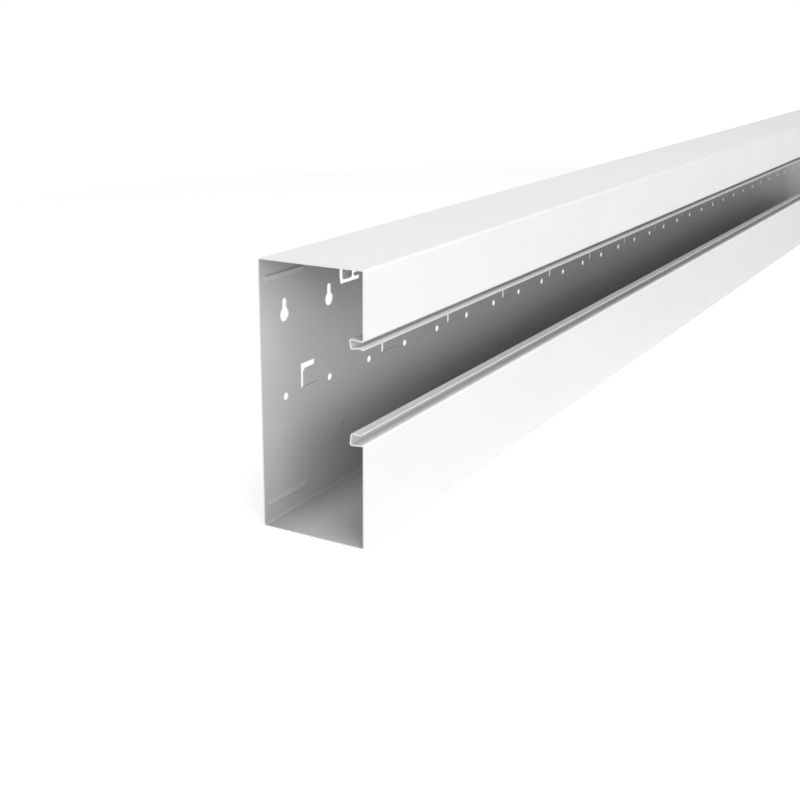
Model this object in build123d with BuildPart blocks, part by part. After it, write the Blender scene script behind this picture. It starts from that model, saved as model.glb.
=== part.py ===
from build123d import *
import os

# A length of folded sheet-steel cable trunking with its front cover off.
# The length runs along X, the open mouth faces -Y, the back wall lies at +Y and
# the bottom stands on Z = 0. The origin is under the middle of the trunking.
# All sizes are in millimetres.

# Box section
length = 2000.0
depth = 90.0
height = 210.0
sheet = 1.0
bend_radius = 0.8  # inside each fold

# Front panels and the mouth between them
upper_panel = 52.0
mouth = 76.5

# Lips that the cover clips into: a ledge, a web, a return and a flared tip
lip_depth = 12.3
ledge_rise = 1.0
web_lean = 1.1
tip_setback = 0.5
tip_length = 3.5
upper_groove = 7.3
upper_return_rise = 1.4
upper_tip_flare = 1.1
lower_groove = 9.0
lower_return_rise = 0.6
lower_tip_flare = 1.9

# Fixing row and hanging row in the back wall, placed by their drop from the top face
hole_pitch = 62.5
fixing_hole = 6.0
fixing_drop = 113.7
keyhole_head = 11.0
keyhole_slot = 5.4
keyhole_drop = 48.5
keyhole_rise = 10.0  # from the head's centre to the centre of the slot's round end

# Cable tongues, one in every second gap of the fixing row
tongue_length = 20.5
tongue_width = 14.6
tongue_corner = 3.0
tongue_drop = 97.5  # from the top face to its top edge
tongue_offset = 3.5  # its middle, from the middle of the gap between two fixing holes
side_slot = 3.5
top_slot = 4.7
top_slot_stop = 4.6  # short of the bend line
kerf = 0.4

# Earthing windows, one near each end, with a hanging tab and a finger beside it
holes_before_window = 2  # keyholes between it and its end of the length
window_width = 30.5
window_height = 30.0
window_drop = 10.0  # from the top face to its top edge
window_taper = 1.5
window_taper_rise = 6.0
earth_tab_width = 14.3
earth_tab_from_side = 4.8
earth_tab_gap = 3.2  # from the tab's free end to the window's bottom edge
earth_tab_crease = 0.8
earth_tab_chamfer = 1.2
earth_tab_round = 2.5
finger_clearance = 3.4  # from the tab to the finger's tip
finger_width = 3.0
finger_gap = 3.1  # from the window's bottom edge to the finger

# Lanced ribs at each end, under which the coupling plates slide
rib_length = 50.0
rib_from_end = 6.5
rib_width = 4.4
rib_gap = 0.5  # between the rib's sheared edge and the wall
rib_from_face = 15.0  # from the top or bottom face to the sheared edge

# Planes and rows that follow from the sizes
front = -depth / 2
back = depth / 2
back_inside = back - sheet
upper_edge = height - upper_panel
lower_edge = upper_edge - mouth
tongue_pitch = 2 * hole_pitch
tongue_count = int(length // tongue_pitch)
hole_count = 2 * tongue_count
fixing_height = height - fixing_drop
keyhole_height = height - keyhole_drop
tongue_bottom = height - tongue_drop - tongue_width
window_top = height - window_drop
window_bottom = window_top - window_height
window_place = (hole_count / 2 - holes_before_window) * hole_pitch
tab_place = window_place + window_width / 2 - earth_tab_from_side - earth_tab_width / 2
finger_length = window_width - earth_tab_from_side - earth_tab_width - finger_clearance
rib_place = length / 2 - rib_from_end - rib_length / 2
rib_rise = sheet + rib_gap
fold_radius = bend_radius + sheet / 2


def lip(edge, toward_mouth, groove, return_rise, tip_flare):
    """Middle line of a lip, from its panel's folded edge to its free tip."""
    corner = (front + sheet / 2, edge - toward_mouth * sheet / 2)
    ledge_end = (front + lip_depth - sheet / 2, corner[1] - toward_mouth * ledge_rise)
    web_end = (ledge_end[0] - web_lean, ledge_end[1] + toward_mouth * groove)
    return_end = (front + tip_setback + tip_length, web_end[1] - toward_mouth * return_rise)
    tip = (front + tip_setback, return_end[1] + toward_mouth * tip_flare)
    return [corner, ledge_end, web_end, return_end, tip]


upper_lip = lip(upper_edge, -1, upper_groove, upper_return_rise, upper_tip_flare)
lower_lip = lip(lower_edge, 1, lower_groove, lower_return_rise, lower_tip_flare)
box_corners = [
    (front + sheet / 2, height - sheet / 2),
    (back - sheet / 2, height - sheet / 2),
    (back - sheet / 2, sheet / 2),
    (front + sheet / 2, sheet / 2),
]

# The earthing tab hangs in its window and is creased down its middle.
with BuildPart() as earth_tab:
    with BuildSketch(Plane.XZ.offset(-back)):
        with Locations((0, window_top)):
            Rectangle(earth_tab_width, window_height - earth_tab_gap, align=(Align.CENTER, Align.MAX))
    extrude(amount=depth / 2)
    tab_corners = earth_tab.edges().filter_by(Axis.Y).group_by(Axis.Z)[0].sort_by(Axis.X)
    chamfer(tab_corners[0], length=earth_tab_chamfer)
    tab_corners = earth_tab.edges().filter_by(Axis.Y).group_by(Axis.Z)[0].sort_by(Axis.X)
    fillet(tab_corners[-1], radius=earth_tab_round)
    with BuildSketch(Plane.XY.offset(window_bottom)):
        with BuildLine():
            Polyline(
                (-earth_tab_width / 2, back_inside),
                (0, back_inside - earth_tab_crease),
                (earth_tab_width / 2, back_inside),
                (earth_tab_width / 2, back),
                (0, back - earth_tab_crease),
                (-earth_tab_width / 2, back),
                close=True,
            )
        make_face()
    extrude(amount=window_height, mode=Mode.INTERSECT)
earth_tab.part.label = "earth_tab"

# The opening that frees a cable tongue: slots at its side and top and a shear
# kerf below it. The far side stays whole, where the tongue is bent out.
with BuildSketch() as tongue_opening:
    with BuildLine():
        Polyline(
            (-side_slot, -kerf / 2),
            (tongue_length, -kerf / 2),
            (tongue_length, kerf / 2),
            (0, kerf / 2),
            (0, tongue_width - tongue_corner),
            (tongue_corner, tongue_width),
            (tongue_length - top_slot_stop, tongue_width),
            (tongue_length - top_slot_stop, tongue_width + top_slot),
            (-side_slot, tongue_width + top_slot),
            close=True,
        )
    make_face()

# The earthing window, less the finger that reaches in from its far side.
with BuildSketch() as window_opening:
    with BuildLine():
        Polyline(
            (window_taper - window_width / 2, 0),
            (window_width / 2, 0),
            (window_width / 2, window_height),
            (-window_width / 2, window_height),
            (-window_width / 2, window_taper_rise),
            close=True,
        )
    make_face()
    with Locations((window_width / 2, finger_gap + finger_width / 2)):
        SlotOverall(2 * finger_length, finger_width, mode=Mode.SUBTRACT)

with BuildPart() as trunking_base:
    # The whole sheet, traced along its middle line and drawn out to length
    with BuildSketch(Plane.YZ):
        with BuildLine():
            FilletPolyline(*upper_lip[::-1], *box_corners, *lower_lip, radius=fold_radius)
        trace(line_width=sheet)
    extrude(amount=length / 2, both=True)

    # Ribs lanced inwards from the back wall, open at their sheared edge
    for end in (-1, 1):
        for face_place, inwards in ((0, 1), (height, -1)):
            sheared = face_place + inwards * rib_from_face
            with BuildSketch(Plane.YZ.offset(end * rib_place)):
                with BuildLine():
                    Polyline(
                        (back_inside, sheared + inwards * rib_width),
                        (back_inside - rib_rise, sheared),
                        (back_inside, sheared),
                        close=True,
                    )
                make_face()
            extrude(amount=rib_length / 2, both=True)
            with BuildSketch(Plane.YZ.offset(end * rib_place)):
                with BuildLine():
                    Polyline(
                        (back, sheared + inwards * rib_width),
                        (back - rib_rise, sheared),
                        (back, sheared),
                        close=True,
                    )
                make_face()
            extrude(amount=rib_length / 2 - sheet, both=True, mode=Mode.SUBTRACT)

    # Round fixing holes, with keyholes above them to hang the trunking by
    with BuildSketch(Plane.XZ.offset(-back)):
        with GridLocations(hole_pitch, hole_pitch, hole_count, 1):
            with Locations((0, fixing_height)):
                Circle(fixing_hole / 2)
            with Locations((0, keyhole_height)):
                Circle(keyhole_head / 2)
            with Locations((0, keyhole_height + keyhole_rise / 2)):
                SlotCenterToCenter(keyhole_rise, keyhole_slot, rotation=90)
    extrude(amount=2 * sheet, mode=Mode.SUBTRACT)

    # Cable tongues in every second gap between the fixing holes
    with BuildSketch(Plane.XZ.offset(-back)):
        with GridLocations(tongue_pitch, tongue_pitch, tongue_count, 1):
            with Locations((tongue_offset - tongue_length / 2, tongue_bottom)):
                add(tongue_opening.sketch)
    extrude(amount=2 * sheet, mode=Mode.SUBTRACT)

    # Earthing windows near both ends, mirrored, each with its hanging tab
    with BuildSketch(Plane.XZ.offset(-back)):
        with Locations((-window_place, window_bottom)):
            add(window_opening.sketch)
        mirror(about=Plane.YZ)
    extrude(amount=2 * sheet, mode=Mode.SUBTRACT)
    with Locations((-tab_place, 0, 0)):
        add(earth_tab.part)
    with Locations((tab_place, 0, 0)):
        add(earth_tab.part.mirror(Plane.YZ))
trunking_base.part.label = "trunking_base"
os.makedirs("parts", exist_ok=True)
export_step(trunking_base.part, "parts/trunking_base.step")
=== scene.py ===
import math

import bmesh
import bpy
from mathutils import Matrix, Vector


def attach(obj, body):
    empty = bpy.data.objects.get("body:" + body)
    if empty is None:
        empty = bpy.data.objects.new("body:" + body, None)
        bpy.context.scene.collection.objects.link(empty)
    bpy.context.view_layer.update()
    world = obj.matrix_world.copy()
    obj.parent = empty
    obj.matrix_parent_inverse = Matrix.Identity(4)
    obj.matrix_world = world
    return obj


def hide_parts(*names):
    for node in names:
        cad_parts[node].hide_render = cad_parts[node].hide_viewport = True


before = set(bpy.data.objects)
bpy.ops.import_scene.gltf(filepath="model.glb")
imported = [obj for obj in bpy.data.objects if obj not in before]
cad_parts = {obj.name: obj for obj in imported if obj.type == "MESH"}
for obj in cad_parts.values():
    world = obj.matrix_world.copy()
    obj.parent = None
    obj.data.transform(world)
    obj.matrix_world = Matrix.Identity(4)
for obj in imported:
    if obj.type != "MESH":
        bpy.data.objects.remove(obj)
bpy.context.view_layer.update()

# Sizes are in millimetres, as in the trunking's CAD source, and turned to metres where a mesh
# or a node takes them. The camera, the lamps and the floor are in metres.
MM = 0.001

# Box section
LENGTH, DEPTH, HEIGHT, SHEET = 2000.0, 90.0, 210.0, 1.0
FRONT, BACK = -DEPTH / 2, DEPTH / 2
BACK_INSIDE = BACK - SHEET
BEND_RADIUS = 0.8  # inside each fold
FOLD_RADIUS = BEND_RADIUS + SHEET / 2  # to the middle of the sheet
FLAT_LOW = SHEET / 2 + FOLD_RADIUS
FLAT_HIGH = HEIGHT - FLAT_LOW

# Front panels, and the lips along the mouth between them
UPPER_PANEL, MOUTH = 52.0, 76.5
UPPER_EDGE = HEIGHT - UPPER_PANEL
LOWER_EDGE = UPPER_EDGE - MOUTH
LIP_DEPTH, LEDGE_RISE, WEB_LEAN = 12.3, 1.0, 1.1
TIP_SETBACK, TIP_LENGTH = 0.5, 3.5
UPPER_GROOVE, UPPER_RETURN_RISE, UPPER_TIP_FLARE = 7.3, 1.4, 1.1
LOWER_GROOVE, LOWER_RETURN_RISE, LOWER_TIP_FLARE = 9.0, 0.6, 1.9

# Fixing holes and keyholes, placed by their drop from the top face
PITCH = 62.5
FIXING_RADIUS, FIXING_HEIGHT = 3.0, HEIGHT - 113.7
HEAD_RADIUS, SLOT_HALF = 5.5, 2.7
KEYHOLE_HEIGHT, KEYHOLE_RISE = HEIGHT - 48.5, 10.0

# Cable tongues, one in every second gap between the fixing holes
TONGUES = int(LENGTH // (2 * PITCH))
HOLES = 2 * TONGUES
TONGUE_LENGTH, TONGUE_WIDTH, TONGUE_CORNER = 20.5, 14.6, 3.0
TONGUE_BOTTOM, TONGUE_OFFSET = HEIGHT - 97.5 - TONGUE_WIDTH, 3.5
SIDE_SLOT, TOP_SLOT, TOP_SLOT_STOP, KERF = 3.5, 4.7, 4.6, 0.4
SLOT_TOP = TONGUE_BOTTOM + TONGUE_WIDTH + TOP_SLOT

# Earthing windows, each with its hanging tab and its finger
HOLES_BEFORE_WINDOW = 2
WINDOW_PLACE = (HOLES / 2 - HOLES_BEFORE_WINDOW) * PITCH
WINDOW_WIDTH, WINDOW_HEIGHT = 30.5, 30.0
WINDOW_TOP = HEIGHT - 10.0
WINDOW_BOTTOM = WINDOW_TOP - WINDOW_HEIGHT
WINDOW_TAPER, TAPER_RISE = 1.5, 6.0
TAB_WIDTH, TAB_FROM_SIDE, TAB_GAP, TAB_CREASE = 14.3, 4.8, 3.2, 0.8
TAB_CHAMFER, TAB_ROUND = 1.2, 2.5
FINGER_LENGTH, FINGER_WIDTH, FINGER_GAP = 8.0, 3.0, 3.1

# Lanced ribs near each end
RIB_LENGTH, RIB_FROM_END, RIB_WIDTH, RIB_FROM_FACE = 50.0, 6.5, 4.4, 15.0
RIB_PLACE = LENGTH / 2 - RIB_FROM_END - RIB_LENGTH / 2
RIB_RISE = 1.5
# No light comes through the sheared edge, so the hollow behind a rib is shallow and ends short of it.
HOLLOW_RISE, HOLLOW_STOP = 0.9, 0.4

# Relief of less than 1 mm: the sheared lines, which are blind because no light comes through, and the dimples
LINE_HEIGHT, LINE_STOP, LINE_DEPTH = 1.2, 2.5, 0.7
KERF_BELOW = 0.45  # the share of the kerf below the tongue's edge
DIMPLE_FROM_END, DIMPLE_HEIGHT, DIMPLE_RADIUS, DIMPLE_DEPTH = 113.5, 51.0, 2.7, 0.4

# Facets of the round stretches
FOLD_STEPS, HOLE_STEPS, SLOT_END_STEPS, FINGER_STEPS, DIMPLE_STEPS = 8, 40, 20, 18, 32

# The distances over which a sheet's own faces are joined and the wall is welded to the section, how far
# each solid that is joined or cut reaches past its own outline, and the angle past which an edge stays sharp
SEAM, WELD = 0.001, 0.05
FORM_OVERLAP, HOLLOW_OVERLAP, LINE_OVERLAP, KERF_OVERLAP = 0.5, 1.0, 0.3, 0.05
SHARP_ANGLE = 12

# Colours
FULL_WHITE, FULL_SHADE = "#F5F5F5", "#F2F2F2"  # the coat outside, where it lies thickest and thinnest
SHADED_INSIDE_LIGHT, SHADED_INSIDE_DARK = "#D2D2D2", "#AEAEAE"  # the inside of the box, painted lighter and darker grey as shade
# Painted shade: the dark grey of the sheared lines, the kerfs, the rib steps and the dimples
LINE_SHADE_GREY = "#7E7E7F"
PAPER, LIGHT = "#E2E2E2", "#FFFFFF"

# How the coat varies and where it carries painted shade and light, with its lengths in millimetres and its
# levels from 0 to 1
CLOUD, PEEL, PEEL_HEIGHT = 62.5, 2.0, 0.03
END_SHADE_LENGTH, MIDDLE_SHADE, CLOUD_THINNESS = 600.0, 0.8, 0.2
CORNER_REACH, CORNER_SHADE = 75.0, 0.85
CORNERS_PART = 115.0  # above the box's middle, so that the lower corner gets the most painted shade
# Levels for the raw ends, for painted shade on the lips' returns and painted light on one half of each tab,
# and for painted light along the back folds and on the upper ribs
RAW_END_LEVEL, HALF_SHADE_LEVEL, FOLD_LIGHT_LEVEL = 0.3, 0.55, 0.85
# How far from the front the painted shade in the lips' grooves starts, and over what depth it grows to full
GROOVE_START, GROOVE_FADE = 1.5, 5.0
# How dark the painted shade is on the sheared lines below the lower ribs, on the kerfs and upper rib steps,
# and in the dimples
LINE_SHADE, CUT_SHADE, DIMPLE_SHADE = 1.0, 0.5, 0.3


def linear(hex_colour):
    """An sRGB hex colour as linear RGBA."""
    parts = [int(hex_colour[i:i + 2], 16) / 255 for i in (1, 3, 5)]
    return [c / 12.92 if c <= 0.04045 else ((c + 0.055) / 1.055) ** 2.4 for c in parts] + [1.0]


def add(tree, kind, inputs=None, **settings):
    """A node with its settings. An input takes a value, an output, or a node's first output in use."""
    node = tree.nodes.new(kind)
    for name, value in settings.items():
        setattr(node, name, value)
    for name, value in (inputs or {}).items():
        if isinstance(value, bpy.types.Node):
            value = next(output for output in value.outputs if output.enabled)
        if isinstance(value, bpy.types.NodeSocket):
            tree.links.new(value, node.inputs[name])
        else:
            node.inputs[name].default_value = value
    return node


# The coat
def painted_inner_shade(tree, place, clouds):
    """How deep the painted shade in the box is, from 0 for the lightest to 1 for the darkest grey."""
    x, y, z = add(tree, "ShaderNodeSeparateXYZ", {0: place}).outputs
    # Painted shade that darkens the box over the first 600 mm in from each open end.
    off_middle = add(tree, "ShaderNodeMath", {0: x}, operation="ABSOLUTE")
    deep = add(tree, "ShaderNodeMapRange", {
        "Value": off_middle, "From Min": LENGTH / 2 * MM, "From Max": (LENGTH / 2 - END_SHADE_LENGTH) * MM,
        "To Min": 0.0, "To Max": MIDDLE_SHADE})
    # Painted shade lies in the two back corners of the box, the lower one over 75 mm of the back wall
    # and the upper one over 55 mm of it, and each of them half as far towards the front.
    off_part = add(tree, "ShaderNodeMath", {0: z, 1: CORNERS_PART * MM}, operation="SUBTRACT")
    beyond_part = add(tree, "ShaderNodeMath", {0: off_part}, operation="ABSOLUTE")
    along_wall = add(tree, "ShaderNodeMath", {0: CORNERS_PART * MM, 1: beyond_part}, operation="SUBTRACT")
    off_back = add(tree, "ShaderNodeMath", {0: BACK * MM, 1: y}, operation="SUBTRACT")
    to_front = add(tree, "ShaderNodeMath", {0: off_back, 1: 2.0}, operation="MULTIPLY")
    off_corner = add(tree, "ShaderNodeCombineXYZ", {"X": to_front, "Y": along_wall})
    shaded_corners = add(tree, "ShaderNodeMapRange", {
        "Value": add(tree, "ShaderNodeVectorMath", {0: off_corner}, operation="LENGTH"),
        "From Min": 0.0, "From Max": CORNER_REACH * MM, "To Min": CORNER_SHADE, "To Max": 0.0})
    patchy = add(tree, "ShaderNodeMath", {0: clouds, 1: CLOUD_THINNESS}, operation="MULTIPLY")
    even = add(tree, "ShaderNodeMath", {0: deep, 1: shaded_corners}, operation="ADD")
    return add(tree, "ShaderNodeMath", {0: even, 1: patchy}, operation="ADD")


def powder_coat():
    """White polyester powder coat, sprayed on the folded sheet steel and stoved.

    It gives the eye a clean, even satin white with the faint skin of an orange peel. Inside the box the
    colour is a grey of painted shade, darker deeper in, in the back corners and on the sheared lines.
    """
    material = bpy.data.materials.new("white_powder_coat")
    material.use_nodes = True
    tree = material.node_tree
    shader = tree.nodes["Principled BSDF"]
    place = add(tree, "ShaderNodeTexCoord").outputs["Object"]
    # Clouds about 60 mm across, where the spray lay on thicker or thinner.
    clouds = add(tree, "ShaderNodeTexNoise", {"Vector": place, "Scale": 1 / (CLOUD * MM), "Detail": 2.0})
    full = add(tree, "ShaderNodeMix", {
        "Factor": clouds, "A": linear(FULL_WHITE), "B": linear(FULL_SHADE)}, data_type="RGBA")
    inside_shade = add(tree, "ShaderNodeMix", {
        "Factor": painted_inner_shade(tree, place, clouds), "A": linear(SHADED_INSIDE_LIGHT), "B": linear(SHADED_INSIDE_DARK)},
        data_type="RGBA")
    shade_share = add(tree, "ShaderNodeAttribute", attribute_name="painted_shade_level").outputs["Fac"]
    coated = add(tree, "ShaderNodeMix", {"Factor": shade_share, "A": full, "B": inside_shade}, data_type="RGBA")
    # Painted shade: the sheared lines, kerfs, rib steps and dimples are given a dull dark grey.
    dark_lines = add(tree, "ShaderNodeAttribute", attribute_name="dark_line_shade").outputs["Fac"]
    shown = add(tree, "ShaderNodeMix", {
        "Factor": dark_lines, "A": coated, "B": linear(LINE_SHADE_GREY)}, data_type="RGBA")
    tree.links.new(shown.outputs["Result"], shader.inputs["Base Color"])
    # An orange peel's bumps are about 2 mm across and a few hundredths of a millimetre high.
    peel = add(tree, "ShaderNodeTexNoise", {"Vector": place, "Scale": 1 / (PEEL * MM), "Detail": 1.0})
    skin = add(tree, "ShaderNodeBump", {"Strength": 0.5, "Distance": PEEL_HEIGHT * MM, "Height": peel})
    tree.links.new(skin.outputs["Normal"], shader.inputs["Normal"])
    # Satin, and its sheen follows the clouds a little.
    sheen = add(tree, "ShaderNodeMapRange", {
        "Value": clouds, "From Min": 0.3, "From Max": 0.7, "To Min": 0.36, "To Max": 0.44})
    tree.links.new(sheen.outputs["Result"], shader.inputs["Roughness"])
    shader.inputs["IOR"].default_value = 1.5
    return material


coat = powder_coat()


# Geometry Nodes trees
def new_tree(name, sizes):
    """A Geometry Nodes tree that takes and gives a geometry, with a named input for each size."""
    tree = bpy.data.node_groups.new(name, "GeometryNodeTree")
    tree.interface.new_socket("Geometry", in_out="INPUT", socket_type="NodeSocketGeometry")
    for size, kind in sizes.items():
        tree.interface.new_socket(size, in_out="INPUT", socket_type=kind)
    tree.interface.new_socket("Geometry", in_out="OUTPUT", socket_type="NodeSocketGeometry")
    tree.is_modifier = True
    return tree, tree.nodes.new("NodeGroupInput").outputs, tree.nodes.new("NodeGroupOutput").inputs


def joined(tree, geometries):
    """One geometry of several."""
    join = add(tree, "GeometryNodeJoinGeometry")
    for geometry in geometries:
        tree.links.new(geometry.outputs[0], join.inputs["Geometry"])
    return join


def closed_sheet(tree, faces, thickness):
    """Gives flat faces a thickness along +Z of the tree's own plane, closed all round and coated."""
    up = add(tree, "ShaderNodeCombineXYZ", {"Z": 1.0})
    raised = add(tree, "GeometryNodeExtrudeMesh", {
        "Mesh": faces, "Offset": up, "Offset Scale": thickness, "Individual": False})
    under = add(tree, "GeometryNodeFlipFaces", {"Mesh": faces})
    both = joined(tree, [raised, under])
    welded = add(tree, "GeometryNodeMergeByDistance", {"Geometry": both, "Distance": SEAM * MM})
    real = add(tree, "GeometryNodeRealizeInstances", {"Geometry": welded})
    return add(tree, "GeometryNodeSetMaterial", {"Geometry": real, "Material": coat})


def folded_section_tree():
    """Folds a middle line into a sheet section, leaves out the back wall's flat and draws it to length."""
    tree, given, out = new_tree("folded_section", {
        "Length": "NodeSocketFloat", "Sheet": "NodeSocketFloat", "Fold Radius": "NodeSocketFloat",
        "Fold Steps": "NodeSocketInt", "Back Wall": "NodeSocketFloat", "Middle Height": "NodeSocketFloat"})
    line = add(tree, "GeometryNodeMeshToCurve", {"Mesh": given["Geometry"]})
    folded = add(tree, "GeometryNodeFilletCurve", {
        "Curve": line, "Count": given["Fold Steps"], "Radius": given["Fold Radius"]}, mode="POLY")
    half = add(tree, "ShaderNodeMath", {0: given["Sheet"], 1: 0.5}, operation="MULTIPLY")
    minus_half = add(tree, "ShaderNodeMath", {0: half, 1: -1.0}, operation="MULTIPLY")
    pen = add(tree, "GeometryNodeCurvePrimitiveLine", {
        "Start": add(tree, "ShaderNodeCombineXYZ", {"X": minus_half}),
        "End": add(tree, "ShaderNodeCombineXYZ", {"X": half})})
    upright = add(tree, "GeometryNodeSetCurveNormal", {"Curve": folded}, mode="Z_UP")
    strip = add(tree, "GeometryNodeCurveToMesh", {"Curve": upright, "Profile Curve": pen})
    wall_middle = add(tree, "ShaderNodeCombineXYZ", {"X": given["Back Wall"], "Y": given["Middle Height"]})
    off_wall = add(tree, "ShaderNodeVectorMath", {
        0: add(tree, "GeometryNodeInputPosition"), 1: wall_middle}, operation="DISTANCE")
    in_wall = add(tree, "ShaderNodeMath", {0: off_wall, 1: given["Sheet"]}, operation="LESS_THAN")
    kept = add(tree, "GeometryNodeDeleteGeometry", {"Geometry": strip, "Selection": in_wall}, domain="FACE")
    tree.links.new(closed_sheet(tree, kept, given["Length"]).outputs[0], out["Geometry"])
    return tree


# The numbers that tell the outlines of the wall apart
WALL_ROW, HOLE_ROW, TONGUE_ROW, WINDOW_ROW = range(4)


def punched_wall_tree():
    """Repeats the punched outlines along the wall, cuts them out of its flat and gives it a thickness."""
    tree, given, out = new_tree("punched_wall", {
        "Sheet": "NodeSocketFloat", "Pitch": "NodeSocketFloat", "Holes": "NodeSocketInt",
        "Tongues": "NodeSocketInt", "Window Place": "NodeSocketFloat"})
    row = add(tree, "GeometryNodeInputNamedAttribute", {"Name": "row"}, data_type="INT")

    def outlines_of(number):
        chosen = add(tree, "FunctionNodeCompare", {"A": row, "B": number}, data_type="INT", operation="EQUAL")
        return add(tree, "GeometryNodeSeparateGeometry", {
            "Geometry": given["Geometry"], "Selection": chosen}, domain="POINT")

    def repeated(outline, count, pitch):
        """Copies of an outline in a row, whose middle is the wall's."""
        gaps = add(tree, "ShaderNodeMath", {0: count, 1: 1.0}, operation="SUBTRACT")
        reach = add(tree, "ShaderNodeMath", {0: gaps, 1: pitch}, operation="MULTIPLY")
        first = add(tree, "ShaderNodeMath", {0: reach, 1: -0.5}, operation="MULTIPLY")
        marks = add(tree, "GeometryNodeMeshLine", {
            "Count": count, "Start Location": add(tree, "ShaderNodeCombineXYZ", {"X": first}),
            "Offset": add(tree, "ShaderNodeCombineXYZ", {"X": pitch})}, mode="OFFSET")
        return add(tree, "GeometryNodeInstanceOnPoints", {"Points": marks, "Instance": outline})

    tongue_pitch = add(tree, "ShaderNodeMath", {0: given["Pitch"], 1: 2.0}, operation="MULTIPLY")
    near_place = add(tree, "ShaderNodeMath", {0: given["Window Place"], 1: -1.0}, operation="MULTIPLY")
    windows = outlines_of(WINDOW_ROW)
    near_window = add(tree, "GeometryNodeTransform", {
        "Geometry": windows, "Translation": add(tree, "ShaderNodeCombineXYZ", {"X": near_place})})
    far_window = add(tree, "GeometryNodeTransform", {
        "Geometry": windows, "Scale": (-1.0, 1.0, 1.0),
        "Translation": add(tree, "ShaderNodeCombineXYZ", {"X": given["Window Place"]})})
    loops = joined(tree, [
        outlines_of(WALL_ROW), repeated(outlines_of(HOLE_ROW), given["Holes"], given["Pitch"]),
        repeated(outlines_of(TONGUE_ROW), given["Tongues"], tongue_pitch), near_window, far_window])
    real = add(tree, "GeometryNodeRealizeInstances", {"Geometry": loops})
    curves = add(tree, "GeometryNodeMeshToCurve", {"Mesh": real})
    flat = add(tree, "GeometryNodeFillCurve", {"Curve": curves}, mode="TRIANGLES")
    tree.links.new(closed_sheet(tree, flat, given["Sheet"]).outputs[0], out["Geometry"])
    return tree


def grown(name, points, edges, tree, sizes, rows=None):
    """The plain mesh that a tree makes of a line drawing, with the tree's inputs set by name."""
    mesh = bpy.data.meshes.new(name)
    mesh.from_pydata([(x * MM, y * MM, 0.0) for x, y in points], edges, [])
    if rows:
        mesh.attributes.new("row", "INT", "POINT").data.foreach_set("value", rows)
    obj = bpy.data.objects.new(name, mesh)
    bpy.context.scene.collection.objects.link(obj)
    modifier = obj.modifiers.new(tree.name, "NODES")
    modifier.node_group = tree
    for item in tree.interface.items_tree:
        if item.in_out == "INPUT" and item.name in sizes:
            modifier[item.identifier] = sizes[item.name]
    seen = obj.evaluated_get(bpy.context.evaluated_depsgraph_get())
    result = bpy.data.meshes.new_from_object(seen)
    bpy.data.objects.remove(obj)
    return result


# Outlines
def lip(edge, toward, groove, return_rise, tip_flare):
    """The middle line of a lip, from its panel's folded edge to its free tip."""
    corner = (FRONT + SHEET / 2, edge - toward * SHEET / 2)
    ledge_end = (FRONT + LIP_DEPTH - SHEET / 2, corner[1] - toward * LEDGE_RISE)
    web_end = (ledge_end[0] - WEB_LEAN, ledge_end[1] + toward * groove)
    return_end = (FRONT + TIP_SETBACK + TIP_LENGTH, web_end[1] - toward * return_rise)
    tip = (FRONT + TIP_SETBACK, return_end[1] + toward * tip_flare)
    return [corner, ledge_end, web_end, return_end, tip]


def arc(x, y, radius, start, end, steps):
    """Points on an arc, its angles in degrees from +X."""
    angles = [math.radians(start + (end - start) * i / steps) for i in range(steps + 1)]
    return [(x + radius * math.cos(a), y + radius * math.sin(a)) for a in angles]


def keyhole():
    """A round head with a narrower slot above it."""
    half = math.degrees(math.asin(SLOT_HALF / HEAD_RADIUS))
    head = arc(0, KEYHOLE_HEIGHT, HEAD_RADIUS, 90 + half, 450 - half, HOLE_STEPS)
    return head + arc(0, KEYHOLE_HEIGHT + KEYHOLE_RISE, SLOT_HALF, 0, 180, SLOT_END_STEPS)


def tongue():
    """The slots at a tongue's free side and along most of its top. The kerf below it is cut later."""
    left = TONGUE_OFFSET - TONGUE_LENGTH / 2
    stop = left + TONGUE_LENGTH - TOP_SLOT_STOP
    low, high = TONGUE_BOTTOM, TONGUE_BOTTOM + TONGUE_WIDTH
    return [(left - SIDE_SLOT, low - KERF / 2), (left, low - KERF / 2), (left, high - TONGUE_CORNER),
            (left + TONGUE_CORNER, high), (stop, high), (stop, SLOT_TOP), (left - SIDE_SLOT, SLOT_TOP)]


def window():
    """An earthing window, less the finger that reaches in from its far side."""
    side, half = WINDOW_WIDTH / 2, FINGER_WIDTH / 2
    finger = WINDOW_BOTTOM + FINGER_GAP + half
    return [(WINDOW_TAPER - side, WINDOW_BOTTOM), (side, WINDOW_BOTTOM), (side, finger - half),
            *arc(side - FINGER_LENGTH + half, finger, half, 270, 90, FINGER_STEPS),
            (side, finger + half), (side, WINDOW_TOP), (-side, WINDOW_TOP),
            (-side, WINDOW_BOTTOM + TAPER_RISE)]


# The sheet
UPPER_LIP = lip(UPPER_EDGE, -1, UPPER_GROOVE, UPPER_RETURN_RISE, UPPER_TIP_FLARE)
LOWER_LIP = lip(LOWER_EDGE, 1, LOWER_GROOVE, LOWER_RETURN_RISE, LOWER_TIP_FLARE)
MIDDLE_LINE = [
    *UPPER_LIP[::-1],
    (FRONT + SHEET / 2, HEIGHT - SHEET / 2), (BACK - SHEET / 2, HEIGHT - SHEET / 2),
    (BACK - SHEET / 2, SHEET / 2), (FRONT + SHEET / 2, SHEET / 2),
    *LOWER_LIP]


def folded_section():
    """The whole section but the flat of the back wall, drawn to length along the mesh's own Z."""
    edges = [(i, i + 1) for i in range(len(MIDDLE_LINE) - 1)]
    return grown("section", MIDDLE_LINE, edges, folded_section_tree(), {
        "Length": LENGTH * MM, "Sheet": SHEET * MM, "Fold Radius": FOLD_RADIUS * MM, "Fold Steps": FOLD_STEPS,
        "Back Wall": (BACK - SHEET / 2) * MM, "Middle Height": HEIGHT / 2 * MM})


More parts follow.
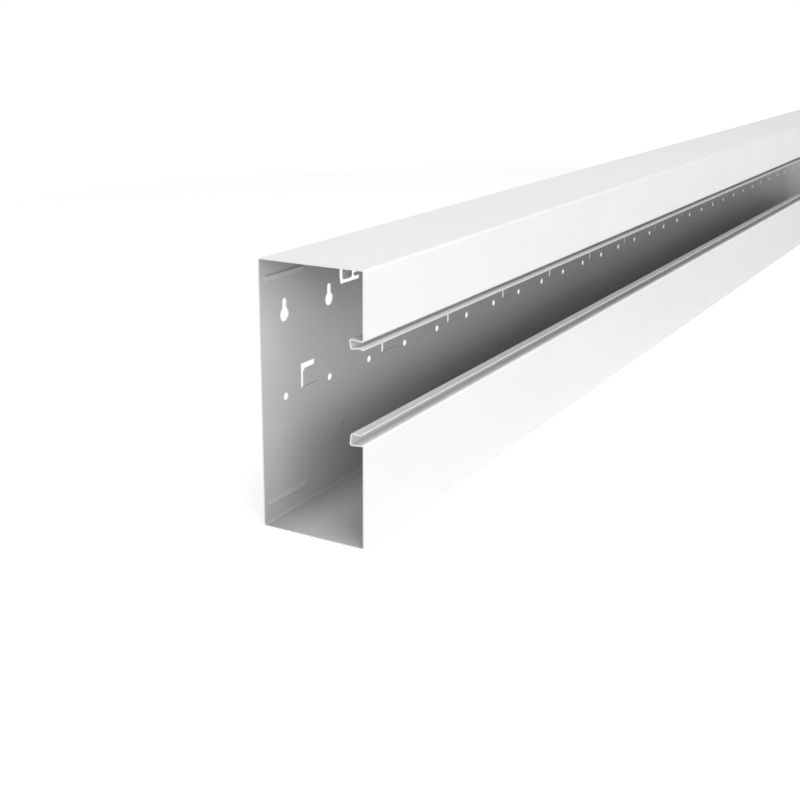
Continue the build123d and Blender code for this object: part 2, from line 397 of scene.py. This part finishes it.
def punched_wall():
    """The flat of the back wall with all its openings, lying in the mesh's own XY plane."""
    end = LENGTH / 2
    drawing = [
        (WALL_ROW, [(-end, FLAT_LOW), (end, FLAT_LOW), (end, FLAT_HIGH), (-end, FLAT_HIGH)]),
        (HOLE_ROW, arc(0, FIXING_HEIGHT, FIXING_RADIUS, 0, 360, HOLE_STEPS)[:-1]),
        (HOLE_ROW, keyhole()), (TONGUE_ROW, tongue()), (WINDOW_ROW, window())]
    points, edges, rows = [], [], []
    for row, loop in drawing:
        start = len(points)
        points += loop
        rows += [row] * len(loop)
        edges += [(start + i, start + (i + 1) % len(loop)) for i in range(len(loop))]
    return grown("wall", points, edges, punched_wall_tree(), {
        "Sheet": SHEET * MM, "Pitch": PITCH * MM, "Holes": HOLES, "Tongues": TONGUES,
        "Window Place": WINDOW_PLACE * MM}, rows)


def object_of(name, bm, material):
    """A scene object of a finished bmesh, with its faces turned outwards."""
    bmesh.ops.recalc_face_normals(bm, faces=bm.faces)
    mesh = bpy.data.meshes.new(name)
    bm.to_mesh(mesh)
    bm.free()
    mesh.materials.append(material)
    obj = bpy.data.objects.new(name, mesh)
    bpy.context.scene.collection.objects.link(obj)
    return obj


def drawn(bm, faces, offset):
    """Gives flat faces a thickness along an offset in millimetres, and returns the new vertices."""
    geometry = bmesh.ops.extrude_face_region(bm, geom=faces)["geom"]
    verts = [item for item in geometry if isinstance(item, bmesh.types.BMVert)]
    bmesh.ops.translate(bm, verts=verts, vec=[step * MM for step in offset])
    return verts


def folded_and_punched():
    """The section and the back wall in their places, welded along the wall's two long edges."""
    bm = bmesh.new()
    bm.from_mesh(folded_section())
    along_x = Matrix(((0, 0, 1, -LENGTH / 2 * MM), (1, 0, 0, 0), (0, 1, 0, 0), (0, 0, 0, 1)))
    bmesh.ops.transform(bm, verts=bm.verts, matrix=along_x)
    folded = set(bm.verts)
    bm.from_mesh(punched_wall())
    at_back = Matrix(((1, 0, 0, 0), (0, 0, -1, BACK * MM), (0, 1, 0, 0), (0, 0, 0, 1)))
    bmesh.ops.transform(bm, verts=[v for v in bm.verts if v not in folded], matrix=at_back)
    bmesh.ops.remove_doubles(bm, verts=bm.verts, dist=WELD * MM)
    buried = []
    for face in bm.faces:
        heights = [v.co.z / MM for v in face.verts]
        at_seam = min(abs(heights[0] - FLAT_LOW), abs(heights[0] - FLAT_HIGH)) < WELD
        level = max(heights) - min(heights) < WELD
        if at_seam and level and face.calc_center_median().y / MM > BACK_INSIDE:
            buried.append(face)
    bmesh.ops.delete(bm, geom=buried, context="FACES_ONLY")
    return object_of("sheet", bm, coat)


# Ribs, tabs and fine cuts
def rib_places():
    """Each pressed rib's middle along X, its sheared edge, and the way from there to its bend."""
    for end in (-1, 1):
        yield end * RIB_PLACE, RIB_FROM_FACE, 1
        yield end * RIB_PLACE, HEIGHT - RIB_FROM_FACE, -1


def rib_prisms(bm, side, overlap, rise, half, stop):
    """Adds each rib's slanted solid on one side of the wall, ending a stop short of its sheared edge."""
    for middle, sheared, way in rib_places():
        bend, shear = sheared + way * RIB_WIDTH, sheared + way * stop
        profile = [(side + overlap, bend), (side, bend), (side - rise, shear), (side + overlap, shear)]
        verts = [bm.verts.new(((middle - half) * MM, y * MM, z * MM)) for y, z in profile]
        drawn(bm, [bm.faces.new(verts)], (2 * half, 0, 0))


def earthing_tabs(bm):
    """Adds the two creased tabs that hang in the earthing windows."""
    half, top, low = TAB_WIDTH / 2, WINDOW_TOP + FORM_OVERLAP, WINDOW_BOTTOM + TAB_GAP
    chamfered = [(-half, top), (-half, low + TAB_CHAMFER), (TAB_CHAMFER - half, low), (0, low), (0, top)]
    corner = arc(half - TAB_ROUND, low + TAB_ROUND, TAB_ROUND, 270, 360, FOLD_STEPS)
    rounded = [(0, top), (0, low), *corner, (half, top)]
    for end in (-1, 1):
        middle = end * (WINDOW_PLACE + WINDOW_WIDTH / 2 - TAB_FROM_SIDE - half)
        verts, faces = {}, []
        for outline in (chamfered, rounded):
            for x, z in outline:
                if (x, z) not in verts:
                    verts[x, z] = bm.verts.new(((middle - end * x) * MM, BACK * MM, z * MM))
            faces.append(bm.faces.new([verts[place] for place in outline]))
        for vert in [*verts.values(), *drawn(bm, faces, (0, -SHEET, 0))]:
            vert.co.y -= TAB_CREASE * MM * (1 - abs(vert.co.x / MM - middle) / half)


def raised_forms():
    """The ribs and the tabs, which are joined to the sheet."""
    bm = bmesh.new()
    rib_prisms(bm, BACK_INSIDE, FORM_OVERLAP, RIB_RISE, RIB_LENGTH / 2, 0)
    earthing_tabs(bm)
    return object_of("raised_forms", bm, coat)


def hollows():
    """The hollows behind the ribs, which end a sheet's thickness from the ribs' own ends."""
    bm = bmesh.new()
    rib_prisms(bm, BACK, HOLLOW_OVERLAP, HOLLOW_RISE, RIB_LENGTH / 2 - SHEET, HOLLOW_STOP)
    return object_of("hollows", bm, coat)


def box(bm, x_range, z_range):
    """Adds a box that sinks a line into the inner side of the back wall."""
    near, far = BACK_INSIDE - LINE_OVERLAP, BACK_INSIDE + LINE_DEPTH
    corners = [(near, z_range[0]), (far, z_range[0]), (far, z_range[1]), (near, z_range[1])]
    face = bm.faces.new([bm.verts.new((x_range[0] * MM, y * MM, z * MM)) for y, z in corners])
    drawn(bm, [face], (x_range[1] - x_range[0], 0, 0))


def fine_cuts():
    """The sheared lines below the lower ribs and under the tongues, and a dimple near each end."""
    bm = bmesh.new()
    line_half = RIB_LENGTH / 2 - LINE_STOP
    for middle in (-RIB_PLACE, RIB_PLACE):
        box(bm, (middle - line_half, middle + line_half), (RIB_FROM_FACE - LINE_HEIGHT, RIB_FROM_FACE))
    for number in range(TONGUES):
        left = (number - (TONGUES - 1) / 2) * 2 * PITCH + TONGUE_OFFSET - TONGUE_LENGTH / 2
        bottom = TONGUE_BOTTOM - KERF * KERF_BELOW
        box(bm, (left - KERF_OVERLAP, left + TONGUE_LENGTH), (bottom, bottom + KERF))
    for end in (-1, 1):
        place = Vector((end * (LENGTH / 2 - DIMPLE_FROM_END), BACK_INSIDE, DIMPLE_HEIGHT)) * MM
        size = Matrix.Diagonal((DIMPLE_RADIUS * MM, DIMPLE_DEPTH * MM, DIMPLE_RADIUS * MM, 1))
        bmesh.ops.create_uvsphere(
            bm, u_segments=DIMPLE_STEPS, v_segments=DIMPLE_STEPS // 2, radius=1,
            matrix=Matrix.Translation(place) @ size)
    return object_of("fine_cuts", bm, coat)


def combined(obj, other, operation):
    """Joins another solid to a piece, or cuts it away, and keeps the result as a plain mesh."""
    cut = obj.modifiers.new(operation, "BOOLEAN")
    cut.operation, cut.solver, cut.object = operation, "EXACT", other
    seen = obj.evaluated_get(bpy.context.evaluated_depsgraph_get())
    result = bpy.data.meshes.new_from_object(seen)
    obj.modifiers.clear()
    obj.data = result
    bpy.data.objects.remove(other)


# Marks for the coat and its painted shade and light. These margins, in millimetres, tell one form from the
# next.
FOLD_MARGIN, FACE_MARGIN, FORM_MARGIN, RIB_MARGIN, RETURN_MARGIN = 0.02, 0.05, 0.1, 0.6, 0.7
DIMPLE_MARGIN, SHEARED_MARGIN, GROOVE_MARGIN, GROOVE_FRONT = 0.01, 1.3, 2.0, 1.2

# These shares of a face's normal tell which way it is turned.
SQUARE_ON, TURNED, EDGE_ON, CREASED = 0.9, 0.3, 0.1, 0.05


def inside_section(y, z):
    """Whether a point in the section's plane lies inside the line through the middle of the sheet."""
    inside = False
    for (y1, z1), (y2, z2) in zip(MIDDLE_LINE, MIDDLE_LINE[1:] + MIDDLE_LINE[:1]):
        if (z1 > z) != (z2 > z) and y < y1 + (z - z1) / (z2 - z1) * (y2 - y1):
            inside = not inside
    return inside


def off_line(y, z, line):
    """How far a point in the section's plane lies from a line drawn in it."""
    ways = []
    for start, end in zip(line, line[1:]):
        run, point = Vector(end) - Vector(start), Vector((y, z)) - Vector(start)
        ways.append((point - run * max(0.0, min(1.0, point.dot(run) / run.length_squared))).length)
    return min(ways)


def on_return(y, z):
    """Whether a point lies on the return or the tip of a lip."""
    return min(off_line(y, z, UPPER_LIP[2:]), off_line(y, z, LOWER_LIP[2:])) < RETURN_MARGIN


def in_groove(y, z):
    """Whether a point lies in the reach of the lips, with the grooves for the cover between them."""
    between = LOWER_EDGE - GROOVE_MARGIN < z < UPPER_EDGE + GROOVE_MARGIN
    return between and GROOVE_FRONT < y - FRONT < LIP_DEPTH + SHEET


def in_back_fold(y, z):
    """Whether a point lies on the inner side of one of the back wall's two folds."""
    off_wall, low = BACK_INSIDE - y, SHEET + BEND_RADIUS
    return FOLD_MARGIN < off_wall < BEND_RADIUS - FOLD_MARGIN and not low < z < HEIGHT - low


def along_ribs(x):
    """Whether a place along the trunking lies within the length of the ribs."""
    return abs(abs(x) - RIB_PLACE) < RIB_LENGTH / 2 + RIB_MARGIN


def on_upper_rib(x, y, z):
    """Whether a point lies on one of the two ribs below the top."""
    off_middle = abs(z - HEIGHT + RIB_FROM_FACE + RIB_WIDTH / 2)
    raised = FORM_MARGIN < BACK_INSIDE - y < RIB_RISE
    return raised and along_ribs(x) and off_middle < RIB_WIDTH / 2 + RIB_MARGIN


def is_punched_edge(face, y):
    """Whether a face is the cut edge of an opening in the back wall."""
    return abs(y - BACK + SHEET / 2) < FORM_MARGIN and abs(face.normal.y) < EDGE_ON


def is_end_facing_tab_half(face, x, z):
    """Whether a face is the half of an earthing tab that is turned to its own end of the trunking."""
    to_end = face.normal.x * x > CREASED * abs(x)
    return z > WINDOW_BOTTOM and face.normal.y < -SQUARE_ON and to_end


def shade_level_of(face, x, y, z):
    """How much painted shade a face takes, from 0 for the full white coat to 1 for the darkest inside grey.
    """
    if abs(face.normal.x) > SQUARE_ON and abs(x) > (LENGTH - SHEET) / 2:
        return RAW_END_LEVEL
    if y > BACK_INSIDE - 2 * SHEET and face.normal.y > TURNED:
        return 0.0
    # Painted shade on the walls of the tongues' slots; the other punched walls keep the white coat.
    if is_punched_edge(face, y):
        return float(TONGUE_BOTTOM + 2 * SHEET < z < SLOT_TOP + SHEET)
    # Painted shade on the lips' returns, and painted light on the half of each earthing tab that is turned to
    # its own end.
    if on_return(y, z) or is_end_facing_tab_half(face, x, z):
        return HALF_SHADE_LEVEL
    inside = inside_section(y, z)
    # Painted light along the back folds and on the upper ribs, lighter than the painted shade on the rest of
    # the inside.
    if inside and (in_back_fold(y, z) or on_upper_rib(x, y, z)):
        return FOLD_LIGHT_LEVEL
    return float(inside)


def line_shade_amount(face, x, y, z):
    """How much dark grey painted shade a face takes on the lines and dimples, from 0 to 1."""
    into_wall = y - BACK_INSIDE
    off_sheared = abs(abs(z - HEIGHT / 2) - HEIGHT / 2 + RIB_FROM_FACE)
    at_rib = along_ribs(x) and off_sheared < SHEARED_MARGIN
    at_kerf = abs(z - TONGUE_BOTTOM) < KERF
    in_line = FACE_MARGIN < into_wall < LINE_DEPTH + FOLD_MARGIN
    on_step = -RIB_RISE < into_wall <= FACE_MARGIN and abs(face.normal.z) > SQUARE_ON
    if (at_rib or at_kerf) and (in_line or on_step) and not is_punched_edge(face, y):
        return LINE_SHADE if at_rib and z < HEIGHT / 2 else CUT_SHADE
    off_dimple = math.hypot(LENGTH / 2 - DIMPLE_FROM_END - abs(x), z - DIMPLE_HEIGHT)
    in_dimple = DIMPLE_MARGIN < into_wall < DIMPLE_DEPTH and off_dimple < DIMPLE_RADIUS
    return DIMPLE_SHADE * in_dimple


def mark_painted_shade(mesh):
    """Marks the painted shade and light at each corner of a face, and the dark painted shade on each face's
    lines.
    """
    inside_shade, dark_lines = [], []
    for face in mesh.polygons:
        x, y, z = face.center / MM
        level = shade_level_of(face, x, y, z)
        dark_lines.append(line_shade_amount(face, x, y, z))
        for corner in face.loop_indices:
            # Painted shade in the grooves between the lips, darker deeper in.
            if level == 0 and in_groove(y, z):
                depth = mesh.vertices[mesh.loops[corner].vertex_index].co.y / MM - FRONT
                inside_shade.append(max(0.0, min(1.0, (depth - GROOVE_START) / GROOVE_FADE)))
            else:
                inside_shade.append(level)
    mesh.attributes.new("painted_shade_level", "FLOAT", "CORNER").data.foreach_set("value", inside_shade)
    mesh.attributes.new("dark_line_shade", "FLOAT", "FACE").data.foreach_set("value", dark_lines)


def smoothed(obj):
    """Gives a piece smooth folds and flat flats, in a plain mesh with one material slot."""
    obj.data.shade_smooth()
    obj.data.set_sharp_from_angle(angle=math.radians(SHARP_ANGLE))
    weighted = obj.modifiers.new("flats_stay_flat", "WEIGHTED_NORMAL")
    weighted.keep_sharp = True
    weighted.weight = 100
    seen = obj.evaluated_get(bpy.context.evaluated_depsgraph_get())
    result = bpy.data.meshes.new_from_object(seen)
    obj.modifiers.clear()
    obj.data = result
    result.polygons.foreach_set("material_index", [0] * len(result.polygons))
    obj.name = result.name = "trunking_base_coated"


trunking_base = folded_and_punched()
combined(trunking_base, raised_forms(), "UNION")
combined(trunking_base, hollows(), "DIFFERENCE")
combined(trunking_base, fine_cuts(), "DIFFERENCE")
mark_painted_shade(trunking_base.data)
smoothed(trunking_base)
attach(trunking_base, "root")
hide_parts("trunking_base")


# Floor and light
FLOOR_REACH = 40.0  # from its middle to each side
GLOW_START, GLOW_FULL, GLOW_LEAST = 1.5, 2.8, 0.5  # metres from the trunking's middle, and the least strength
DOME = 0.5  # the world's strength on the object, where a background of 1 is white
NEAR_END = Vector((-0.7, 0.0, 0.1))
LAMP_DISTANCE, LAMP_SIZE = 3.2, 1.6
LAMP_LOWEST = 0.82  # height of a lamp's middle at which its lower edge clears the floor
LAMPS = {  # each lamp's bearing and its rise as seen from the near end, in degrees, and its watts
    "end low": (210, 5, 28.5),
    "front low": (240, 5, 21.0),
    "front high": (240, 65, 32.0)}


def seen_rays(tree):
    """1 for the rays that show a background: from the camera, in a gloss or through glass."""
    rays = add(tree, "ShaderNodeLightPath").outputs
    direct = add(tree, "ShaderNodeMath", {
        0: rays["Is Camera Ray"], 1: rays["Is Glossy Ray"]}, operation="MAXIMUM")
    return add(tree, "ShaderNodeMath", {0: direct, 1: rays["Is Transmission Ray"]}, operation="MAXIMUM")


def white_paper():
    """A matt white paper floor. It shows the trunking's shadow and fades to plain white away from it."""
    material = bpy.data.materials.new("pale_floor")
    material.use_nodes = True
    tree = material.node_tree
    shader = tree.nodes["Principled BSDF"]
    shader.inputs["Base Color"].default_value = linear(PAPER)
    shader.inputs["Roughness"].default_value = 0.9
    shader.inputs["Specular IOR Level"].default_value = 0.0
    shader.inputs["Emission Color"].default_value = linear(LIGHT)
    place = add(tree, "ShaderNodeTexCoord").outputs["Object"]
    glow = add(tree, "ShaderNodeMapRange", {
        "Value": add(tree, "ShaderNodeVectorMath", {0: place}, operation="LENGTH"),
        "From Min": GLOW_START, "From Max": GLOW_FULL, "To Min": GLOW_LEAST, "To Max": 1.0})
    shown = add(tree, "ShaderNodeMath", {0: seen_rays(tree), 1: glow}, operation="MULTIPLY")
    tree.links.new(shown.outputs["Value"], shader.inputs["Emission Strength"])
    return material


def studio_world():
    """A soft white dome that lights the object at half strength and looks plain white."""
    world = bpy.data.worlds.new("studio")
    world.use_nodes = True
    tree = world.node_tree
    background = tree.nodes["Background"]
    background.inputs["Color"].default_value = linear(LIGHT)
    strength = add(tree, "ShaderNodeMix", {"Factor": seen_rays(tree), "A": DOME, "B": 1.0})
    tree.links.new(strength.outputs["Result"], background.inputs["Strength"])
    return world


def softbox(name, place, target, size, watts):
    """A square soft lamp at a place, turned to a target."""
    lamp = bpy.data.lights.new(name, "AREA")
    lamp.shape, lamp.size, lamp.energy = "SQUARE", size, watts
    obj = bpy.data.objects.new(name, lamp)
    toward = Vector(target) - Vector(place)
    obj.matrix_world = Matrix.Translation(place) @ toward.to_track_quat("-Z", "Y").to_matrix().to_4x4()
    bpy.context.scene.collection.objects.link(obj)


sweep = bmesh.new()
bmesh.ops.create_grid(sweep, x_segments=1, y_segments=1, size=FLOOR_REACH)
floor = object_of("floor", sweep, white_paper())
bpy.context.scene.world = studio_world()
for name, (bearing, rise, watts) in LAMPS.items():
    around, up = math.radians(bearing), math.radians(rise)
    way = Vector((math.cos(around) * math.cos(up), math.sin(around) * math.cos(up), math.sin(up)))
    place = NEAR_END + LAMP_DISTANCE * way
    place.z = max(place.z, LAMP_LOWEST)
    softbox(name, place, NEAR_END, LAMP_SIZE, watts)


# Camera. Its numbers were fitted to the long edges and the end's corners in the photograph.
PICTURE_WIDTH, FOCAL_LENGTH = 800.0, 1218.0  # pixels
SENSOR_WIDTH = 36.0  # millimetres
SHIFT_X, SHIFT_Y = 0.0124, -0.047  # shares of the picture's width
YAW, PITCH_DOWN, ROLL = 29.843, 15.781, -0.287  # degrees
CAMERA_PLACE = (-1.708, -0.4725, 0.3778)


def photo_camera():
    """The camera at the photograph's viewing angle."""
    camera = bpy.data.cameras.new("camera")
    camera.sensor_width = SENSOR_WIDTH
    camera.lens = FOCAL_LENGTH / PICTURE_WIDTH * SENSOR_WIDTH
    camera.shift_x, camera.shift_y = SHIFT_X, SHIFT_Y
    camera.clip_start = 0.01
    obj = bpy.data.objects.new("camera", camera)
    yaw, pitch, roll = (math.radians(angle) for angle in (YAW, PITCH_DOWN, ROLL))
    forward = Vector((math.cos(pitch) * math.cos(yaw), math.cos(pitch) * math.sin(yaw), -math.sin(pitch)))
    level = Vector((math.sin(yaw), -math.cos(yaw), 0))
    down = forward.cross(level)
    right = math.cos(roll) * level + math.sin(roll) * down
    up = math.sin(roll) * level - math.cos(roll) * down
    turn = Matrix((right, up, -forward)).transposed().to_4x4()
    obj.matrix_world = Matrix.Translation(CAMERA_PLACE) @ turn
    bpy.context.scene.collection.objects.link(obj)
    return obj


bpy.context.scene.camera = photo_camera()
bpy.context.scene.view_settings.view_transform = "Standard"
